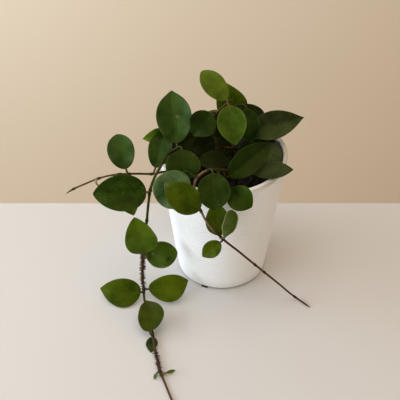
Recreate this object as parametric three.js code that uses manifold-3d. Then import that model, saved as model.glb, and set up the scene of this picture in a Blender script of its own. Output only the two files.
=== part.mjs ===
// A potted hoya: a ribbed white pot, its soil, nine vines and the leaves that grow on them.
// Millimetres, +Z up. The origin is the middle of the pot's foot, on the surface it stands on.
// The front of the plant looks along -Y, and +X is to the right.
import * as THREE from "three";
import { mergeVertices } from "three/addons/utils/BufferGeometryUtils.js";
import Module from "manifold-3d";

// ---- Driving dimensions ----

const POT = {
  height: 158.4,
  rimRadius: 70,
  footRadius: 50.5,
  wall: 4.6,
  floor: 7,
  edge: 1.2, // how far the rim's and the foot's edges are eased
  sides: 64,
};
const NOTCH = { wide: 6.5, high: 1.8, deep: 7, count: 3, first: -114 }; // degrees round from +X
const SOIL = { top: 118, crown: 4, clearance: 0.4, sides: 32 }; // the crown rises in the middle

const TOUCH = 0.4; // between a leaf's foot and the vine that carries it
const VINE_STEP = 8; // length of vine between two rings
const VINE_SIDES = 8;
const VINE_CAP = 0.4; // how far a vine's ends are domed

const PETIOLE_RADIUS = 0.85;
const BLADE = {
  thickness: 1.1, // through the blade beside the midrib
  ridge: 0.45, // the midrib stands this much below the blade
  stations: [0, 0.06, 0.2, 0.38, 0.58, 0.78, 0.93], // shares of the length that get a ring
};

const COLOURS = {
  pot: 0xe6e4de,
  soil: 0x2a211b,
  vine: 0x4f3a26,
  leaf: 0x2c4a17,
  young: 0x55752a,
};

// ---- Small helpers ----

const vector = (point) => new THREE.Vector3(...point);
const group = new THREE.Group();

function add(name, geometry, { color, roughness = 0.6 }) {
  const material = new THREE.MeshStandardMaterial({ color, roughness, metalness: 0 });
  const mesh = new THREE.Mesh(geometry, material);
  mesh.name = name;
  group.add(mesh);
}

// A closed skin over a row of rings, with one point beyond each end ring. It is a sphere's own
// skin: its poles go to the two points and its rows to the rings. Each ring holds its points
// clockwise as seen from the row's start.
function skin(start, rings, end) {
  const around = rings[0].length;
  const geometry = new THREE.SphereGeometry(1, around, rings.length + 1);
  const position = geometry.attributes.position;
  for (let i = 0; i < position.count; i++) {
    const row = Math.floor(i / (around + 1));
    const column = i % (around + 1) % around;
    const point = row === 0 ? start : row > rings.length ? end : rings[row - 1][column];
    position.setXYZ(i, point.x, point.y, point.z);
  }
  geometry.deleteAttribute("normal");
  geometry.deleteAttribute("uv");
  return mergeVertices(geometry);
}

// ---- The pot ----

const wasm = await Module();
wasm.setup();

function solid(geometry) {
  geometry.deleteAttribute("normal");
  geometry.deleteAttribute("uv");
  const merged = mergeVertices(geometry);
  const vertProperties = merged.attributes.position.array;
  const triVerts = new Uint32Array(merged.index.array);
  return new wasm.Manifold(new wasm.Mesh({ numProp: 3, vertProperties, triVerts }));
}

function geometryOf(manifold) {
  const mesh = manifold.getMesh();
  const geometry = new THREE.BufferGeometry();
  geometry.setAttribute("position", new THREE.BufferAttribute(mesh.vertProperties, 3));
  geometry.setIndex(new THREE.BufferAttribute(mesh.triVerts, 1));
  return geometry;
}

// Turns a profile of [radius, height] points round the Z axis.
function turned(profile, sides) {
  const points = profile.map(([radius, height]) => new THREE.Vector2(radius, height));
  return new THREE.LatheGeometry(points, sides).rotateX(Math.PI / 2);
}

const taper = (POT.rimRadius - POT.footRadius) / POT.height;
const outerRadius = (height) => POT.footRadius + taper * height;
const innerRadius = (height) => outerRadius(height) - POT.wall;

function pot() {
  const { height, edge, floor } = POT;
  const shell = turned(
    [
      [0, 0],
      [POT.footRadius - edge, 0],
      [outerRadius(edge), edge],
      [outerRadius(height - edge), height - edge],
      [POT.rimRadius - edge, height],
      [innerRadius(height) + edge, height],
      [innerRadius(height - edge), height - edge],
      [innerRadius(floor), floor],
      [0, floor],
    ],
    POT.sides,
  );
  let body = solid(shell);
  for (let i = 0; i < NOTCH.count; i++) {
    const angle = THREE.MathUtils.degToRad(NOTCH.first + (360 / NOTCH.count) * i);
    const cutter = new THREE.BoxGeometry(2 * NOTCH.deep, NOTCH.wide, 2 * NOTCH.high);
    cutter.translate(POT.footRadius, 0, 0).rotateZ(angle);
    body = body.subtract(solid(cutter));
  }
  return geometryOf(body);
}

function soil() {
  const bottom = POT.floor + SOIL.clearance;
  const radius = (height) => innerRadius(height) - SOIL.clearance;
  return turned(
    [
      [0, bottom],
      [radius(bottom), bottom],
      [radius(SOIL.top - SOIL.crown), SOIL.top - SOIL.crown],
      [radius(SOIL.top) * 0.6, SOIL.top - 0.4],
      [0, SOIL.top],
    ],
    SOIL.sides,
  );
}

add("pot", pot(), { color: COLOURS.pot, roughness: 0.5 });
add("soil", soil(), { color: COLOURS.soil, roughness: 0.95 });

// ---- Vines and leaves ----

// A vine is round and thins evenly from its root end to its tip.
function vine({ path, radius: [thick, thin] }) {
  const curve = new THREE.CatmullRomCurve3(path.map(vector), false, "centripetal");
  const steps = Math.ceil(curve.getLength() / VINE_STEP);
  const frames = curve.computeFrenetFrames(steps, false);
  const radiusAt = (share) => THREE.MathUtils.lerp(thick, thin, share);
  const rings = frames.normals.map((normal, step) => {
    const centre = curve.getPointAt(step / steps);
    const radius = radiusAt(step / steps);
    return Array.from({ length: VINE_SIDES }, (_, side) => {
      const angle = (2 * Math.PI * side) / VINE_SIDES;
      return centre
        .clone()
        .addScaledVector(normal, radius * Math.cos(angle))
        .addScaledVector(frames.binormals[step], -radius * Math.sin(angle));
    });
  });
  const start = curve.getPointAt(0).addScaledVector(frames.tangents[0], -VINE_CAP);
  const end = curve.getPointAt(1).addScaledVector(frames.tangents[steps], VINE_CAP);
  return { curve, radiusAt, geometry: skin(start, rings, end) };
}

// Where a leaf stands on its vine: the nearest place to `wanted`, pushed out to the vine's skin.
function footing({ curve, radiusAt }, wanted) {
  const samples = 400;
  let share = 0;
  let nearest = Infinity;
  for (let i = 0; i <= samples; i++) {
    const distance = curve.getPointAt(i / samples).distanceTo(wanted);
    if (distance < nearest) {
      nearest = distance;
      share = i / samples;
    }
  }
  const centre = curve.getPointAt(share);
  const tangent = curve.getTangentAt(share);
  const out = wanted.clone().sub(centre).projectOnPlane(tangent).normalize();
  return { out, point: centre.addScaledVector(out, radiusAt(share) + TOUCH) };
}

// Half the blade's width at a share of its length, over half its greatest width. It is round at
// the base. A bluntness of 1 gives a straight-sided pointed tip, and less rounds the tip off.
// Fullness sets how far along the blade is widest.
function outline(share, fullness, bluntness) {
  const half = (s) => Math.sqrt(s) * (1 - s ** fullness) ** bluntness;
  const widest = (1 + 2 * fullness * bluntness) ** (-1 / fullness);
  return half(share) / half(widest);
}

// The nine points round a blade, as [across, side]: across runs from one margin (1) to the
// other (-1), and side is 1 on the upper skin, -1 on the lower one and -2 on the midrib's ridge.
const SECTION = [
  [1, 0],
  [0.55, 1],
  [0, 1],
  [-0.55, 1],
  [-1, 0],
  [-0.55, -1],
  [-0.1, -2],
  [0.1, -2],
  [0.55, -1],
];

// A leaf is one skin from the foot of its petiole to the tip of its blade. The blade runs from
// base to tip, and its upper side turns as nearly towards `faces` as that allows. Its midrib
// arches up by `arch` and sideways by `bow` of its length, its margins rise by `cup` of half its
// width, and it turns by `twist` degrees from base to tip.
function leaf(stem, shape) {
  const { width, fullness = 2, bluntness = 1, arch = 0.06, bow = 0, cup = 0.12 } = shape;
  const { twist = 0, faces = [0, -0.77, 0.64], petiole = 8 } = shape;
  const base = vector(shape.base);
  const tip = vector(shape.tip);
  const length = base.distanceTo(tip);
  const along = tip.clone().sub(base).normalize();
  const up = vector(faces).projectOnPlane(along).normalize();
  const side = along.clone().cross(up);

  const foot = footing(stem, base.clone().addScaledVector(along, -petiole));
  const reach = 0.4 * foot.point.distanceTo(base);
  const stalk = new THREE.CubicBezierCurve3(
    foot.point,
    foot.point.clone().addScaledVector(foot.out, reach),
    base.clone().addScaledVector(along, -reach),
    base,
  );
  const stalkRings = [0, 0.5].map((share) => {
    const centre = stalk.getPointAt(share);
    const turn = new THREE.Quaternion().setFromUnitVectors(along, stalk.getTangentAt(share));
    return SECTION.map((_, i) => {
      const angle = (2 * Math.PI * i) / SECTION.length;
      const offset = side.clone().multiplyScalar(PETIOLE_RADIUS * Math.cos(angle));
      offset.addScaledVector(up, PETIOLE_RADIUS * Math.sin(angle));
      return centre.clone().add(offset.applyQuaternion(turn));
    });
  });

  const bladeRings = BLADE.stations.map((share) => {
    const half = Math.max(PETIOLE_RADIUS, (width / 2) * outline(share, fullness, bluntness));
    const roll = THREE.MathUtils.degToRad(twist * (share - 0.5));
    const curving = 4 * length * share * (1 - share);
    return SECTION.map(([across, skinSide]) => {
      const depth = Math.sign(skinSide) * (BLADE.thickness / 2) * (1 - 0.35 * across ** 2);
      const ridge = skinSide === -2 ? BLADE.ridge * (1 - share) : 0;
      const y = half * across;
      const z = cup * half * across ** 2 + depth - ridge;
      return base
        .clone()
        .addScaledVector(along, length * share)
        .addScaledVector(side, bow * curving + y * Math.cos(roll) - z * Math.sin(roll))
        .addScaledVector(up, arch * curving + y * Math.sin(roll) + z * Math.cos(roll));
    });
  });

  const start = foot.point.clone().addScaledVector(foot.out, -0.1);
  return skin(start, [...stalkRings, ...bladeRings], tip);
}

// Every vine, from its root end in the soil to its tip, with the leaves that stand on it in the
// same order.
const VINES = {
  // Climbs out over the left of the rim, hangs down and runs forward along the surface.
  left_trail: {
    radius: [1.6, 1.1],
    path: [
      [-16, 6, 118.8],
      [-24, 4, 140],
      [-38, -4, 157],
      [-47, -7, 167],
      [-59, -18, 171],
      [-67, -33, 165],
      [-74, -42, 155],
      [-78, -46, 144],
      [-80, -49, 130],
      [-83, -52, 103],
      [-88, -55, 59],
      [-90, -58, 28],
      [-89, -64, 15],
      [-88, -74, 9],
      [-84, -96, 5],
      [-78, -118, 4],
      [-75, -136, 5],
      [-72, -153, 3.2],
      [-67, -174, 2],
      [-60, -195, 1.7],
      [-54, -212, 1.5],
      [-48, -228, 1.4],
    ],
    leaves: [
      { base: [-50, -8, 177], tip: [-56, 30, 220], width: 38, fullness: 2.4 },
      { base: [-44, -24, 180], tip: [-42, -46, 157], width: 37, bluntness: 0.6 },
      { base: [-82, -49, 143], tip: [-139, -52, 143], width: 39, fullness: 1.3, bluntness: 0.8 },
      { base: [-85, -60, 66], tip: [-95, -64, 120], width: 35, fullness: 1.4, bluntness: 0.8 },
      { base: [-85, -50, 51], tip: [-50, -52, 59], width: 30, bluntness: 0.7 },
      { base: [-92, -67, 12], tip: [-139, -62, 13], width: 33, fullness: 1.6, bow: -0.05, petiole: 3 },
      { base: [-83, -64, 14], tip: [-38, -56, 20], width: 31, fullness: 2.6, bow: 0.09, petiole: 4 },
      { base: [-80, -124, 9], tip: [-86, -81, 15], width: 29, fullness: 1.5, bow: 0.1, petiole: 3 },
      { base: [-77, -125, 1.3], tip: [-78, -147, 1.3], width: 13, faces: [0, 0, 1], arch: 0, cup: 0 },
      { base: [-60, -177, 3.5], tip: [-51, -175, 5], width: 4, petiole: 3 },
      { base: [-71, -178, 2.5], tip: [-73, -184, 1.5], width: 4, faces: [0, 0, 1], petiole: 2 },
    ],
  },
  // Crosses the rim behind the left trail and reaches out to the left, almost level.
  left_shoot: {
    radius: [1.2, 0.8],
    path: [
      [-30, -8, 118.8],
      [-42, -20, 140],
      [-52, -32, 157],
      [-58, -36, 161],
      [-65, -36, 160],
      [-75, -33, 155],
      [-88, -30, 153],
      [-104, -28, 151],
      [-120, -25, 147],
      [-135, -22, 140],
      [-150, -20, 131],
      [-164, -18, 122],
      [-172, -17, 115],
    ],
    leaves: [
      { base: [-73, -22, 155], tip: [-63, 7, 185], width: 25, bluntness: 0.7 },
      { base: [-104, -28, 158], tip: [-114, -2, 185], width: 29, bluntness: 0.7, petiole: 4 },
      { base: [-110, -31, 143], tip: [-97, -42, 104], width: 22, petiole: 3 },
    ],
  },
  // Arches over the front of the rim and drops to the right until its tip lies on the surface.
  front_trail: {
    radius: [1.5, 1],
    path: [
      [12, -14, 118.8],
      [14, -24, 140],
      [13, -30, 154],
      [7, -38, 163],
      [-2, -44, 169],
      [-9, -48, 172.5],
      [-17, -52, 175],
      [-26, -58, 173],
      [-31, -65, 167],
      [-30, -74, 155],
      [-24, -84, 146],
      [-17, -87, 132],
      [-3, -86, 112],
      [18, -83, 87],
      [38, -79, 62],
      [60, -76, 36],
      [76, -71, 14],
      [84, -68, 3.5],
      [92, -74, 1.6],
      [98, -80, 1.2],
    ],
    leaves: [
      { base: [5, -45, 161], tip: [50, -16, 184], width: 28 },
      { base: [5, -68, 161], tip: [28, -84, 152], width: 27, bluntness: 0.8 },
      { base: [-12, -61, 178], tip: [-10, -89, 152], width: 34, bluntness: 0.7 },
      { base: [-42, -57, 176], tip: [-63, -79, 148], width: 39, bluntness: 0.6, bow: 0.04, petiole: 3 },
      { base: [-26, -85, 149], tip: [-62, -75, 177], width: 31, petiole: 2 },
      { base: [-4, -82, 112], tip: [-10, -78, 151], width: 26, bluntness: 0.7, petiole: 2 },
      {
        base: [1, -90, 117],
        tip: [6, -83, 147],
        width: 21,
        bluntness: 0.5,
        faces: [0.6, -0.7, 0.3],
        petiole: 2,
      },
      { base: [-4, -88, 107], tip: [-23, -93, 91], width: 18, petiole: 3 },
    ],
  },
  // Stands up out of the middle of the pot and carries the bright leaves of the crown.
  crown_stem: {
    radius: [1.3, 0.8],
    path: [
      [6, 4, 118.8],
      [-2, 6, 150],
      [-9, 5, 180],
      [-11, 5, 198],
      [-8, 7, 205],
      [3, 10, 216],
      [10, 13, 220],
    ],
    leaves: [
      { base: [3, 14, 218], tip: [-24, 31, 243], width: 24, bluntness: 0.7, petiole: 1 },
      { base: [5, 6, 216], tip: [12, -23, 185], width: 31, petiole: 2 },
      { base: [-13, 6, 206], tip: [-33, -6, 185], width: 30, petiole: 2 },
    ],
  },
  right_shoot: {
    radius: [1.3, 0.8],
    path: [
      [24, 8, 118.8],
      [27, 15, 145],
      [27, 20, 165],
      [25, 22, 182],
      [21, 25, 196],
      [16, 27, 203],
    ],
    leaves: [
      { base: [29, 16, 175], tip: [90, 32, 183], width: 31, bluntness: 1.35 },
      { base: [16, 38, 178], tip: [-6, 54, 220], width: 34, fullness: 1.2, bluntness: 1.3 },
      { base: [25, 22, 201], tip: [29, 2, 169], width: 24 },
      { base: [17, 30, 198], tip: [49, 41, 170], width: 19 },
    ],
  },
  // Leans on the inside of the pot at the right, with its last leaf out over the rim.
  rim_shoot: {
    radius: [1.2, 0.8],
    path: [
      [30, -6, 118.8],
      [34, -18, 138],
      [35, -28, 150],
      [33, -36, 156],
    ],
    leaves: [
      { base: [45, -12, 149], tip: [57, 12, 163], width: 26 },
      { base: [32, -40, 161], tip: [74, -32, 161], width: 22, faces: [0, -0.3, 0.95], arch: 0.02 },
      { base: [17, -2, 153], tip: [43, 18, 162], width: 22 },
      { base: [36, 24, 150], tip: [58, 18, 160], width: 20 },
    ],
  },
  inner_shoot: {
    radius: [1.1, 0.8],
    path: [
      [-20, 14, 118.8],
      [-18, 16, 138],
      [-12, 15, 149],
      [-5, 15, 153],
      [6, 15, 154],
      [15, 15, 153],
    ],
    leaves: [
      { base: [-9, 13, 162], tip: [-36, 2, 163], width: 24 },
      { base: [-26, -15, 157], tip: [9, -12, 155], width: 24, faces: [0, -0.3, 0.95] },
      { base: [8, 22, 160], tip: [-6, 33, 190], width: 26 },
      { base: [14, 24, 145], tip: [-13, 34, 150], width: 28 },
    ],
  },
  // Falls over the back of the rim.
  back_trail: {
    radius: [1.3, 0.8],
    path: [
      [10, 24, 118.8],
      [12, 40, 145],
      [12, 56, 162],
      [13, 68, 164.5],
      [14, 78, 156],
      [14, 83, 135],
      [12, 84, 110],
      [8, 84, 86],
      [6, 86, 70],
    ],
    leaves: [
      { base: [20, 70, 160], tip: [48, 84, 140], width: 30, faces: [0, 0.6, 0.8] },
      { base: [6, 76, 158], tip: [-18, 92, 134], width: 30, faces: [0, 0.7, 0.7] },
      { base: [20, 90, 130], tip: [56, 95, 106], width: 32, faces: [0, 0.9, 0.4] },
      { base: [6, 91, 124], tip: [-26, 97, 100], width: 28, faces: [0, 0.9, 0.4] },
      { base: [17, 90, 92], tip: [46, 96, 64], width: 28, faces: [0, 0.9, 0.4] },
      { base: [2, 92, 84], tip: [-28, 96, 58], width: 28, faces: [0, 0.9, 0.4] },
    ],
  },
  back_shoot: {
    radius: [1.2, 0.8],
    path: [
      [-16, 20, 118.8],
      [-28, 30, 145],
      [-40, 38, 161],
      [-48, 50, 166],
      [-52, 62, 161],
      [-54, 72, 145],
      [-55, 78, 125],
      [-56, 80, 108],
    ],
    leaves: [
      { base: [-61, 20, 168], tip: [-89, 17, 164], width: 17, fullness: 1.3, bluntness: 1.2 },
      { base: [-31, 31, 157], tip: [-53, 13, 153], width: 26 },
      { base: [-44, 72, 150], tip: [-24, 86, 128], width: 28, faces: [0, 0.7, 0.7] },
      { base: [-62, 78, 132], tip: [-76, 86, 104], width: 28, faces: [-0.4, 0.8, 0.4] },
      { base: [-49, 83, 128], tip: [-38, 96, 102], width: 22, faces: [0.1, 0.9, 0.4] },
      { base: [-57, 84, 102], tip: [-58, 94, 70], width: 28, faces: [-0.1, 0.9, 0.4] },
    ],
  },
};

for (const [name, { leaves, ...plan }] of Object.entries(VINES)) {
  const stem = vine(plan);
  add(name, stem.geometry, { color: COLOURS.vine });
  leaves.forEach((shape, i) => {
    add(`${name}_leaf_${i + 1}`, leaf(stem, shape), { color: COLOURS.leaf, roughness: 0.4 });
  });
}

export default group;
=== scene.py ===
import math
import random

import bmesh
import bpy
import numpy as np
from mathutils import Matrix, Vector


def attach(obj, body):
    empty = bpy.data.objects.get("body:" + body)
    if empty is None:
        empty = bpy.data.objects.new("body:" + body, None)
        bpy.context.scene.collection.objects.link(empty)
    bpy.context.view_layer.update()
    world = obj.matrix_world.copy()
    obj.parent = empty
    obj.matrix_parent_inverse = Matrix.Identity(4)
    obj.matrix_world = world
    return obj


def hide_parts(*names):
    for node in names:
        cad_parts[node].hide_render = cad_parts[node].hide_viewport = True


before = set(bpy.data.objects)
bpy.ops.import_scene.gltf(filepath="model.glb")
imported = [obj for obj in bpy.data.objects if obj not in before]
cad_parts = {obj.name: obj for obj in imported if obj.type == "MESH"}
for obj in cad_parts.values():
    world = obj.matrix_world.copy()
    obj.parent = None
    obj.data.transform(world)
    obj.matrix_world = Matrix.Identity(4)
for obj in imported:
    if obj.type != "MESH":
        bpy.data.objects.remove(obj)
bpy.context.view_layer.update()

# ---- Camera, daylight and table ----
# The camera stands a little over a metre in front of the pot and looks down on it by 40 degrees.
# Soft daylight comes from a large window at the left, onto a white table before a cream wall.
camera = bpy.data.objects.new("camera", bpy.data.cameras.new("camera"))
bpy.context.collection.objects.link(camera)
camera.location = (-0.0253, -0.8646, 0.8155)
camera.rotation_euler = (math.radians(50.05), 0, 0)
camera.data.sensor_width = 36
camera.data.lens = 90
camera.data.clip_start = 0.05
bpy.context.scene.camera = camera
bpy.context.scene.view_settings.view_transform = "Standard"
TABLE_EDGE = 0.1025  # where the table ends, behind the pot
WALL = 1.5  # how far behind the pot the wall stands


def soft_light(name, place, width, height, watts, colour):
    """A large soft light that faces the pot."""
    light = bpy.data.lights.new(name, "AREA")
    light.shape, light.size, light.size_y = "RECTANGLE", width, height
    light.energy = watts
    light.color = colour
    lamp = bpy.data.objects.new(name, light)
    bpy.context.collection.objects.link(lamp)
    lamp.location = place
    lamp.visible_camera = False
    lamp.rotation_euler = (Vector((0, 0, 0.1)) - Vector(place)).to_track_quat("-Z", "Y").to_euler()


soft_light("window", place=(-1.5, -0.2, 0.52), width=2.5, height=1.2, watts=43,
           colour=(0.725, 0.863, 1.0))
soft_light("room", place=(0.0, -0.3, 2.2), width=2.0, height=2.0, watts=16.5,
           colour=(1.0, 0.878, 0.80))

world = bpy.data.worlds.new("room_air")
bpy.context.scene.world = world
world.use_nodes = True
backdrop = world.node_tree.nodes["Background"].inputs
backdrop["Color"].default_value = (1.0, 0.846, 0.66, 1)
backdrop["Strength"].default_value = 0.52


def new_material(name, **values):
    """A material whose shader takes each value on its own socket. Gives its tree and shader too."""
    made = bpy.data.materials.new(name)
    made.use_nodes = True
    shader = made.node_tree.nodes["Principled BSDF"]
    for socket, value in values.items():
        shader.inputs[socket.replace("_", " ")].default_value = value
    return made, made.node_tree, shader


def node(tree, kind, inputs=(), **settings):
    """A new node. inputs gives sockets, by name or number, a value or a link."""
    made = tree.nodes.new(kind)
    for key, value in settings.items():
        setattr(made, key, value)
    for key, value in dict(inputs).items():
        if isinstance(value, bpy.types.NodeSocket):
            tree.links.new(value, made.inputs[key])
        else:
            made.inputs[key].default_value = value
    return made


def noise(tree, where, scale, detail=3.0, roughness=0.5):
    inputs = {"Vector": where, "Scale": scale, "Detail": detail, "Roughness": roughness}
    return node(tree, "ShaderNodeTexNoise", inputs).outputs["Fac"]


def blend(tree, amount, first, second):
    """Goes from the first colour to the second as amount goes from 0 to 1."""
    inputs = {"Factor": amount, 6: first, 7: second}
    return node(tree, "ShaderNodeMix", inputs, data_type="RGBA").outputs[2]


def remap(tree, value, low, high, to_low=0.0, to_high=1.0):
    inputs = {0: value, 1: low, 2: high, 3: to_low, 4: to_high}
    return node(tree, "ShaderNodeMapRange", inputs).outputs[0]


def maths(tree, operation, first, second=0.0):
    return node(tree, "ShaderNodeMath", {0: first, 1: second}, operation=operation).outputs[0]


def place_of(tree):
    return node(tree, "ShaderNodeTexCoord").outputs["Object"]


def part_of(tree, vector, axis):
    return node(tree, "ShaderNodeSeparateXYZ", {0: vector}).outputs[axis]


# Each plane's paint grades across X. On the wall this is painted shade: it darkens from the window
# side to the far side. The table's paint changes only a little.
for name, corners, near_window, far_side in (
    ("table", [(-3, -3, 0), (3, -3, 0), (3, TABLE_EDGE, 0), (-3, TABLE_EDGE, 0)],
     (0.625, 0.610, 0.588, 1), (0.640, 0.622, 0.603, 1)),
    ("wall", [(-4, WALL, -2.5), (4, WALL, -2.5), (4, WALL, 2.5), (-4, WALL, 2.5)],
     (0.97, 0.85, 0.70, 1), (0.74, 0.615, 0.47, 1)),
):
    paint, tree, shader = new_material(f"{name}_paint", Roughness=0.6)
    where = place_of(tree)
    across = part_of(tree, where, "X")
    cloud = remap(tree, noise(tree, where, 1.5), 0, 1, -0.15, 0.15)
    shade = remap(tree, maths(tree, "ADD", across, cloud), -0.7, 0.7)
    tree.links.new(blend(tree, shade, near_window, far_side), shader.inputs["Base Color"])
    mesh = bpy.data.meshes.new(name)
    mesh.from_pydata(corners, [], [(0, 1, 2, 3)])
    mesh.materials.append(paint)
    plane = bpy.data.objects.new(name, mesh)
    bpy.context.collection.objects.link(plane)

# ---- Pot ----
# A slip-cast white pot with a satin glaze. It tapers, and fine ribs run round it from just above
# the foot up to the lip. Three small drainage notches are cut in the foot's edge.
RIB_PITCH = 0.004
RIB_DEPTH = 0.0005
ROWS_PER_RIB = 6
SMOOTH_FOOT = 0.018  # the lowest rib is this far above the surface
SMOOTH_LIP = 0.0055  # and the highest this far below the lip
UNDERCUT = 0.004  # of the foot, so that a dark line shows all round it
FOOT_ROLL = 0.0025  # height of that undercut
COVE = 0.004  # radius where the inside wall meets the floor
HALF_WALL = 0.0035  # what lies this far in from the outer wall belongs to the inside
NOTCH_TOPS = 0.0015, 0.0022  # the notches' upper corners lie between these heights
NOTCH_STEP = 0.3  # corners further apart than this, in radians, are of two notches
INSIDE_SHADE_TOP = 0.003  # below the lip: the painted shade on the inside wall reaches up to here


def merged_copy(name):
    """A CAD node's skin in a bmesh, with its loose triangles joined."""
    work = bmesh.new()
    work.from_mesh(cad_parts[name].data)
    bmesh.ops.remove_doubles(work, verts=work.verts, dist=2e-6)
    return work


def seated(name, mesh, slot, *replaced, smooth=True):
    """A finished piece: it rides with the pot. Its slot is not used."""
    made = bpy.data.objects.new(name, mesh)
    bpy.context.collection.objects.link(made)
    mesh.polygons.foreach_set("use_smooth", [smooth] * len(mesh.polygons))
    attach(made, "root")
    if replaced:
        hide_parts(*replaced)


def grown(made):
    """The mesh that an object's modifiers make. The object itself goes."""
    bpy.context.view_layer.update()
    seen = made.evaluated_get(bpy.context.evaluated_depsgraph_get())
    mesh = bpy.data.meshes.new_from_object(seen)
    bpy.data.objects.remove(made)
    return mesh


def with_nodes(mesh, tree, **inputs):
    """The mesh after a Geometry Nodes tree whose inputs get these values."""
    made = bpy.data.objects.new(tree.name, mesh)
    bpy.context.collection.objects.link(made)
    modifier = made.modifiers.new(tree.name, "NODES")
    modifier.node_group = tree
    for item in tree.interface.items_tree:
        if item.in_out == "INPUT" and item.name in inputs:
            modifier[item.identifier] = inputs[item.name]
    return grown(made)


def new_tree(name, **inputs):
    """An empty Geometry Nodes tree with a geometry in and out, and named inputs of these kinds."""
    tree = bpy.data.node_groups.new(name, "GeometryNodeTree")
    tree.interface.new_socket("Geometry", in_out="OUTPUT", socket_type="NodeSocketGeometry")
    for key, kind in {"Geometry": "Geometry", **inputs, "Material": "Material"}.items():
        tree.interface.new_socket(key, in_out="INPUT", socket_type=f"NodeSocket{kind}")
    return tree, tree.nodes.new("NodeGroupInput").outputs, tree.nodes.new("NodeGroupOutput").inputs


def completed(tree, given, result, shape):
    """Ends a tree with its shape made real and given its material."""
    real = node(tree, "GeometryNodeRealizeInstances", {0: shape}).outputs[0]
    painted = node(tree, "GeometryNodeSetMaterial",
                   {"Geometry": real, "Material": given["Material"]})
    tree.links.new(painted.outputs[0], result["Geometry"])


def bumped(tree, shader, height, distance, strength=1.0):
    inputs = {"Height": height, "Distance": distance, "Strength": strength}
    tree.links.new(node(tree, "ShaderNodeBump", inputs).outputs["Normal"], shader.inputs["Normal"])


skin = merged_copy("pot")
cut_line = sorted({(round(-v.co.y, 6), round(v.co.z, 6)) for v in skin.verts
                   if abs(v.co.x) < 1e-6 and v.co.y < -1e-3}, key=lambda p: p[1])
levels = sorted({z for _, z in cut_line})
outer = [max(p for p in cut_line if p[1] == z) for z in levels]
inner = [min(p for p in cut_line if p[1] == z) for z in levels]
foot, above_foot = outer[0], outer[1]
floor_edge = inner[2]
below_lip, lip = outer[-2], outer[-1]
inside_lip, below_inside_lip = inner[-1], inner[-2]


def rounded(first, corner, last, count=5):
    """Points on a smooth bend from first to last that is pulled towards corner."""
    steps = [i / count for i in range(count + 1)]
    return [tuple((1 - t) ** 2 * a + 2 * t * (1 - t) * b + t * t * c
                  for a, b, c in zip(first, corner, last)) for t in steps]


def straight(first, last, count):
    return [tuple(a + (b - a) * i / count for a, b in zip(first, last)) for i in range(1, count)]


wall_rows = round((below_lip[1] - above_foot[1]) / RIB_PITCH * ROWS_PER_RIB)
outer_edge = (below_lip[0] + 0.0001, lip[1])
inner_edge = (below_inside_lip[0], inside_lip[1])
cove = (floor_edge[0] - COVE, floor_edge[1])
taper = (below_lip[0] - above_foot[0]) / (below_lip[1] - above_foot[1])
rolled = (above_foot[0] + taper * (FOOT_ROLL - above_foot[1]), FOOT_ROLL)
profile = [
    *straight((0, 0), (foot[0] - UNDERCUT, 0), 6),
    *rounded((foot[0] - UNDERCUT, 0), (foot[0] - 0.0012, FOOT_ROLL * 0.85), rolled, 4),
    *straight(rolled, below_lip, wall_rows),
    *rounded(below_lip, outer_edge, lip),
    *rounded(inside_lip, inner_edge, below_inside_lip),
    *straight(below_inside_lip, floor_edge, 14),
    *rounded((floor_edge[0] + 0.0005, floor_edge[1] + COVE), floor_edge, cove),
    *straight(cove, (0, floor_edge[1]), 4),
]


def turned(name, profile, around, ends):
    """A closed skin turned round the Z axis, from one end point on the axis to the other."""
    turns = np.linspace(0, 2 * np.pi, around, endpoint=False)
    radius, rise = np.array(profile).T
    points = np.empty((len(profile), around, 3))
    points[:, :, 0] = radius[:, None] * np.cos(turns)
    points[:, :, 1] = radius[:, None] * np.sin(turns)
    points[:, :, 2] = rise[:, None]
    return skinned(name, points, *ends)


def skinned(name, rings, start, end):
    """A closed mesh over a row of rings, with a point beyond each end ring."""
    rows, around = rings.shape[:2]
    corners = [*rings.reshape(-1, 3), start, end]
    first, last = rows * around, rows * around + 1
    faces = []
    for j in range(around):
        k = (j + 1) % around
        faces.append((first, k, j))
        faces += [(i * around + j, i * around + k, (i + 1) * around + k, (i + 1) * around + j)
                  for i in range(rows - 1)]
        faces.append((last, (rows - 1) * around + j, (rows - 1) * around + k))
    mesh = bpy.data.meshes.new(name)
    mesh.from_pydata([tuple(c) for c in corners], [], faces)
    return mesh


def outwards(mesh):
    """Turns the faces outwards."""
    work = bmesh.new()
    work.from_mesh(mesh)
    bmesh.ops.recalc_face_normals(work, faces=work.faces)
    work.to_mesh(mesh)
    work.free()
    return mesh


def is_outside(point):
    """Whether a point is on the outer wall, between the foot and the lip."""
    wall = below_lip[0] - HALF_WALL - taper * (below_lip[1] - point.z)
    return above_foot[1] < point.z < below_lip[1] and point.xy.length > wall


shell = outwards(turned("pot_wall", profile, 160, ((0, 0, 0), (0, 0, floor_edge[1]))))
shell.attributes.new("outer_wall", "FLOAT", "POINT").data.foreach_set(
    "value", [float(is_outside(v.co)) for v in shell.vertices])

glaze, tree, shader = new_material("satin_glaze", Roughness=0.42, Coat_Weight=0.15,
                                   Coat_Roughness=0.3)
ribs, given, result = new_tree("ribs", Pitch="Float", Depth="Float", Start="Float", End="Float")
rise = part_of(ribs, node(ribs, "GeometryNodeInputPosition").outputs[0], "Z")
from_start = maths(ribs, "SUBTRACT", rise, given["Start"])
bead = maths(ribs, "ABSOLUTE", maths(ribs, "SINE", maths(
    ribs, "MULTIPLY", maths(ribs, "DIVIDE", from_start, given["Pitch"]), math.pi)))
groove = maths(ribs, "MULTIPLY", maths(ribs, "SUBTRACT", bead, 1.0), given["Depth"])
ribbed = maths(ribs, "MULTIPLY", maths(ribs, "GREATER_THAN", rise, given["Start"]),
               maths(ribs, "LESS_THAN", rise, given["End"]))
on_wall = node(ribs, "GeometryNodeInputNamedAttribute", {"Name": "outer_wall"}).outputs[0]
amount = maths(ribs, "MULTIPLY", groove, maths(ribs, "MULTIPLY", ribbed, on_wall))
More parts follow.
